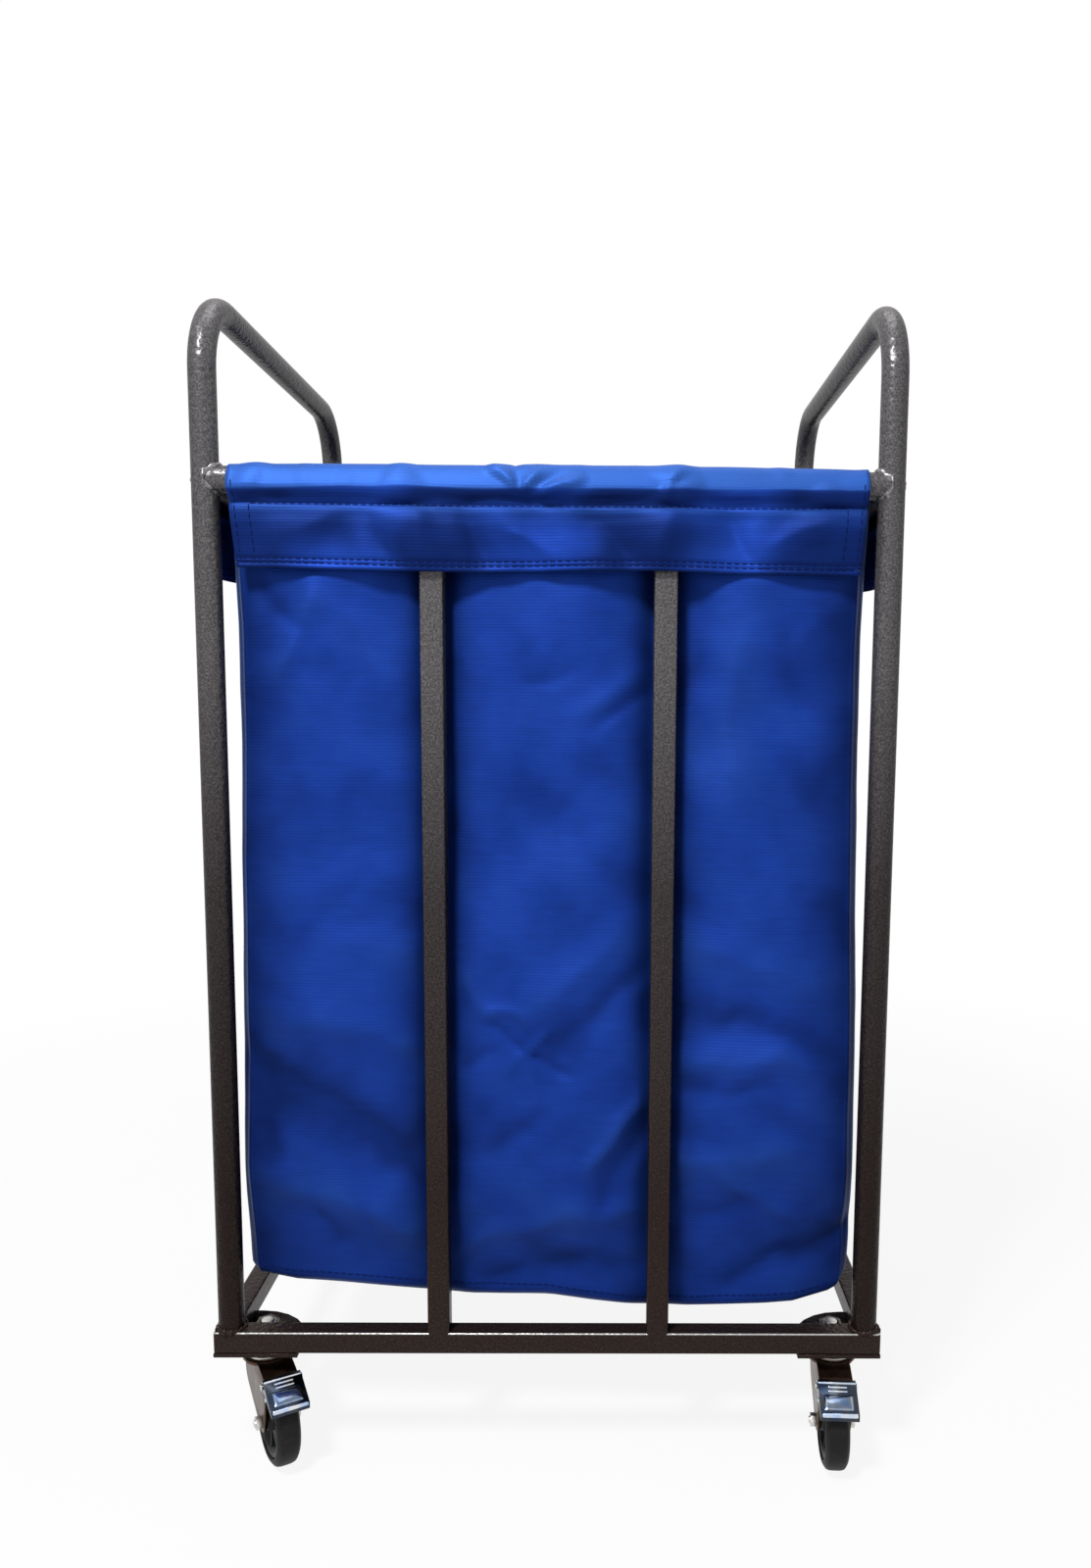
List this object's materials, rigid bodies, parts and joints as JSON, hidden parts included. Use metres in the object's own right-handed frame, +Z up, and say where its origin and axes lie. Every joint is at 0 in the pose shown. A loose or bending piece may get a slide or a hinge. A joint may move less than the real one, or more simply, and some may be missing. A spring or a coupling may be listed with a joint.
{
  "type": "laundry cart",
  "caption": "Tall rolling laundry cart: dark tube frame with push handles, a blue fabric bag hung from its top tubes, and braked swivel casters.",
  "frame": {"origin": "middle of the footprint, on the floor under the wheels", "axes": "+Z up, +X to the cart's right as seen in the picture, -Y towards the pictured front"},
  "size_m": [0.584, 0.5391, 1.0081],
  "materials": {
    "frame_paint": "hammertone, semi-gloss",
    "zinc": "zinc plated",
    "fork_zinc": "dark plated",
    "pedal_chrome": "polished",
    "tyre_rubber": "matte",
    "wheel_plastic": "matte",
    "bag_cloth": "coated, slight sheen"
  },
  "bodies": {
    "frame": {"left_hoop": "frame_paint", "right_hoop": "frame_paint", "front_top_tube": "frame_paint", "rear_top_tube": "frame_paint", "left_top_tube": "frame_paint", "right_top_tube": "frame_paint", "front_bottom_rail": "frame_paint", "rear_bottom_rail": "frame_paint", "left_bottom_rail": "frame_paint", "right_bottom_rail": "frame_paint", "front_left_bar": "frame_paint", "front_right_bar": "frame_paint", "rear_left_bar": "frame_paint", "rear_right_bar": "frame_paint", "left_side_bar": "frame_paint", "right_side_bar": "frame_paint", "front_left_plate": "frame_paint", "front_left_stem": "zinc", "front_left_stem_nut": "zinc", "front_right_plate": "frame_paint", "front_right_stem": "zinc", "front_right_stem_nut": "zinc", "rear_left_plate": "frame_paint", "rear_left_stem": "zinc", "rear_left_stem_nut": "zinc", "rear_right_plate": "frame_paint", "rear_right_stem": "zinc", "rear_right_stem_nut": "zinc"},
    "bag": {"laundry_bag": "bag_cloth"},
    "front_left_caster": {"front_left_fork": "fork_zinc", "front_left_axle_bolt": "zinc", "front_left_axle_nut": "zinc", "front_left_brake_pin": "zinc"},
    "front_left_wheel": {"front_left_wheel_core": "wheel_plastic", "front_left_tyre": "tyre_rubber"},
    "front_left_brake": {"front_left_brake_pedal": "pedal_chrome"},
    "front_right_caster": {"front_right_fork": "fork_zinc", "front_right_axle_bolt": "zinc", "front_right_axle_nut": "zinc", "front_right_brake_pin": "zinc"},
    "front_right_wheel": {"front_right_wheel_core": "wheel_plastic", "front_right_tyre": "tyre_rubber"},
    "front_right_brake": {"front_right_brake_pedal": "pedal_chrome"},
    "rear_left_caster": {"rear_left_fork": "fork_zinc", "rear_left_axle_bolt": "zinc", "rear_left_axle_nut": "zinc", "rear_left_brake_pin": "zinc"},
    "rear_left_wheel": {"rear_left_wheel_core": "wheel_plastic", "rear_left_tyre": "tyre_rubber"},
    "rear_left_brake": {"rear_left_brake_pedal": "pedal_chrome"},
    "rear_right_caster": {"rear_right_fork": "fork_zinc", "rear_right_axle_bolt": "zinc", "rear_right_axle_nut": "zinc", "rear_right_brake_pin": "zinc"},
    "rear_right_wheel": {"rear_right_wheel_core": "wheel_plastic", "rear_right_tyre": "tyre_rubber"},
    "rear_right_brake": {"rear_right_brake_pedal": "pedal_chrome"}
  },
  "joints": [
    {"name": "bag_lift", "type": "slide", "parent": "frame", "child": "bag", "axis": [0, 0, 1], "range_m": [0, 0.1]},
    {"name": "front_left_swivel", "type": "hinge", "parent": "frame", "child": "front_left_caster", "pos_m": [-0.255, -0.1991, 0.1035], "axis": [0, 0, 1], "continuous": true},
    {"name": "front_left_roll", "type": "hinge", "parent": "front_left_caster", "child": "front_left_wheel", "pos_m": [-0.24084, -0.22267, 0.03975], "axis": [0.8572, 0.515, 0], "continuous": true},
    {"name": "front_left_brake_press", "type": "hinge", "parent": "front_left_caster", "child": "front_left_brake", "pos_m": [-0.23363, -0.23467, 0.0804], "axis": [0.8572, 0.515, 0], "range_deg": [0, 16]},
    {"name": "front_right_swivel", "type": "hinge", "parent": "frame", "child": "front_right_caster", "pos_m": [0.255, -0.1991, 0.1035], "axis": [0, 0, 1], "continuous": true},
    {"name": "front_right_roll", "type": "hinge", "parent": "front_right_caster", "child": "front_right_wheel", "pos_m": [0.25356, -0.22656, 0.03975], "axis": [0.9986, -0.0523, 0], "continuous": true},
    {"name": "front_right_brake_press", "type": "hinge", "parent": "front_right_caster", "child": "front_right_brake", "pos_m": [0.25283, -0.24054, 0.0804], "axis": [0.9986, -0.0523, 0], "range_deg": [0, 16]},
    {"name": "rear_left_swivel", "type": "hinge", "parent": "frame", "child": "rear_left_caster", "pos_m": [-0.255, 0.1991, 0.1035], "axis": [0, 0, 1], "continuous": true},
    {"name": "rear_left_roll", "type": "hinge", "parent": "rear_left_caster", "child": "rear_left_wheel", "pos_m": [-0.2447, 0.2246, 0.03975], "axis": [-0.9272, 0.3746, 0], "continuous": true},
    {"name": "rear_left_brake_press", "type": "hinge", "parent": "rear_left_caster", "child": "rear_left_brake", "pos_m": [-0.23945, 0.23758, 0.0804], "axis": [-0.9272, 0.3746, 0], "range_deg": [0, 16]},
    {"name": "rear_right_swivel", "type": "hinge", "parent": "frame", "child": "rear_right_caster", "pos_m": [0.255, 0.1991, 0.1035], "axis": [0, 0, 1], "continuous": true},
    {"name": "rear_right_roll", "type": "hinge", "parent": "rear_right_caster", "child": "rear_right_wheel", "pos_m": [0.25356, 0.22656, 0.03975], "axis": [-0.9986, -0.0523, 0], "continuous": true},
    {"name": "rear_right_brake_press", "type": "hinge", "parent": "rear_right_caster", "child": "rear_right_brake", "pos_m": [0.25283, 0.24054, 0.0804], "axis": [-0.9986, -0.0523, 0], "range_deg": [0, 16]}
  ]
}
